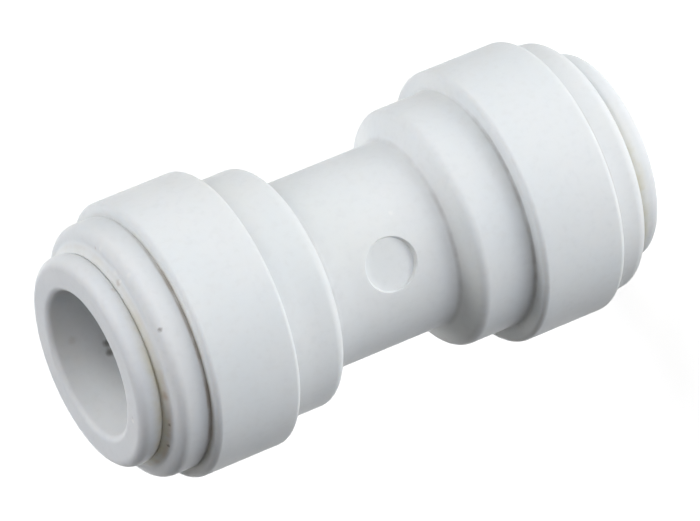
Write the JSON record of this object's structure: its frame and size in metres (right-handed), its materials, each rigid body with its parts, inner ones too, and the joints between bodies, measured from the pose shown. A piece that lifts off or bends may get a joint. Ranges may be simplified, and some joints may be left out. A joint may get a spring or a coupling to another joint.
{
  "type": "straight push-fit connector",
  "caption": "Straight white plastic push-fit connector that joins two water tubes of one size, with a release collet at each end.",
  "frame": {"origin": "middle of the waterway, halfway between the two ends on the axis", "axes": "+Z along the axis, from the end it stands on to the open end above; -Y towards the round gate recess on the waist"},
  "size_m": [0.02, 0.02, 0.0414],
  "materials": {
    "body_plastic": "satin moulded white polypropylene",
    "cap_plastic": "satin moulded white polypropylene",
    "collet_plastic": "smooth satin white plastic",
    "backing_plastic": "plain white plastic",
    "seal_rubber": "smooth black rubber",
    "tooth_steel": "stamped stainless steel"
  },
  "bodies": {
    "housing": {"body": "body_plastic", "end_cap_top": "cap_plastic", "seal_ring_top": "seal_rubber", "backing_ring_top": "backing_plastic", "end_cap_bottom": "cap_plastic", "seal_ring_bottom": "seal_rubber", "backing_ring_bottom": "backing_plastic"},
    "top_collet": {"collet_top": "collet_plastic", "grip_tooth_top_1": "tooth_steel", "grip_tooth_top_2": "tooth_steel", "grip_tooth_top_3": "tooth_steel", "grip_tooth_top_4": "tooth_steel", "grip_tooth_top_5": "tooth_steel", "grip_tooth_top_6": "tooth_steel"},
    "bottom_collet": {"collet_bottom": "collet_plastic", "grip_tooth_bottom_1": "tooth_steel", "grip_tooth_bottom_2": "tooth_steel", "grip_tooth_bottom_3": "tooth_steel", "grip_tooth_bottom_4": "tooth_steel", "grip_tooth_bottom_5": "tooth_steel", "grip_tooth_bottom_6": "tooth_steel"}
  },
  "joints": [
    {"name": "top_collet_slide", "type": "slide", "parent": "housing", "child": "top_collet", "axis": [0, 0, 1], "range_m": [0, 0.0012]},
    {"name": "bottom_collet_slide", "type": "slide", "parent": "housing", "child": "bottom_collet", "axis": [0, 0, -1], "range_m": [0, 0.0012]}
  ]
}
